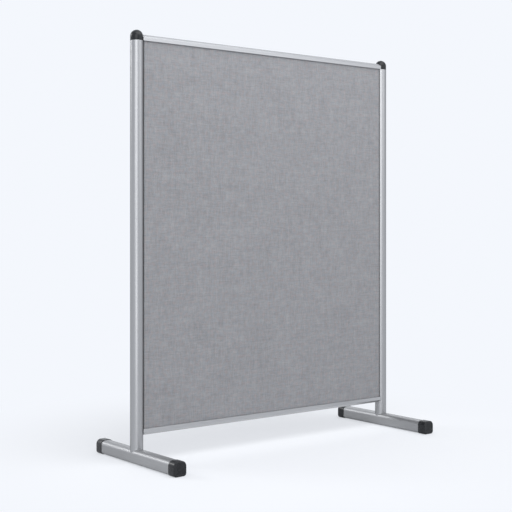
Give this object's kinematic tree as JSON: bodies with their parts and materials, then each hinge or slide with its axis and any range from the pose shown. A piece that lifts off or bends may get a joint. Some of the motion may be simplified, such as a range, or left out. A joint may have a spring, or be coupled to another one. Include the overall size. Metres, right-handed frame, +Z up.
{
  "type": "acoustic divider screen",
  "caption": "Free-standing acoustic screen: a grey fabric panel with silver rails between two round posts on T-feet that turn for storage.",
  "frame": {"origin": "on the floor, in the middle of the footprint, half-way between the posts", "axes": "+X along the panel to its right seen from the front, +Y to the rear, +Z up; the front of the screen faces -Y"},
  "size_m": [1.3064, 0.534, 1.5903],
  "materials": {
    "satin_metal": "satin anodised silver grey",
    "black_plastic": "matte charcoal",
    "melange_fabric": "woven melange grey",
    "wadding": "soft needled felt",
    "absorber": "pressed fibre slab",
    "timber": "plain sawn softwood",
    "board": "hardboard",
    "zinc_steel": "zinc plated",
    "dark_steel": "blackened steel",
    "seal_rubber": "matte black"
  },
  "bodies": {
    "screen": {"left_post": "satin_metal", "right_post": "satin_metal", "left_post_cap": "black_plastic", "right_post_cap": "black_plastic", "left_post_insert": "zinc_steel", "right_post_insert": "zinc_steel", "left_foot_bolt": "dark_steel", "right_foot_bolt": "dark_steel", "left_foot_washer": "zinc_steel", "right_foot_washer": "zinc_steel", "left_spring_washer": "dark_steel", "right_spring_washer": "dark_steel", "top_rail": "satin_metal", "bottom_rail": "satin_metal", "top_left_end_plug": "satin_metal", "top_right_end_plug": "satin_metal", "bottom_left_end_plug": "satin_metal", "bottom_right_end_plug": "satin_metal", "rail_screws": "zinc_steel", "front_fabric": "melange_fabric", "rear_fabric": "melange_fabric", "front_wadding": "wadding", "rear_wadding": "wadding", "front_absorber": "absorber", "rear_absorber": "absorber", "septum_board": "board", "top_batten": "timber", "bottom_batten": "timber", "left_batten": "timber", "right_batten": "timber", "corner_screws": "dark_steel", "keyhole_plates": "zinc_steel", "keyhole_plate_screws": "dark_steel", "hanger_screws": "dark_steel", "post_rivets": "zinc_steel", "left_side_seal": "seal_rubber", "right_side_seal": "seal_rubber"},
    "left_foot": {"left_foot_tube": "satin_metal", "left_foot_seat": "satin_metal", "left_foot_front_cap": "black_plastic", "left_foot_rear_cap": "black_plastic", "left_clamp_plate": "zinc_steel"},
    "right_foot": {"right_foot_tube": "satin_metal", "right_foot_seat": "satin_metal", "right_foot_front_cap": "black_plastic", "right_foot_rear_cap": "black_plastic", "right_clamp_plate": "zinc_steel"}
  },
  "joints": [
    {"name": "left_foot_swivel", "type": "hinge", "parent": "screen", "child": "left_foot", "pos_m": [-0.6265, 0.018, 0], "axis": [0, 0, 1], "range_deg": [-90, 90]},
    {"name": "right_foot_swivel", "type": "hinge", "parent": "screen", "child": "right_foot", "pos_m": [0.6265, 0.018, 0], "axis": [0, 0, 1], "range_deg": [-90, 90]}
  ]
}
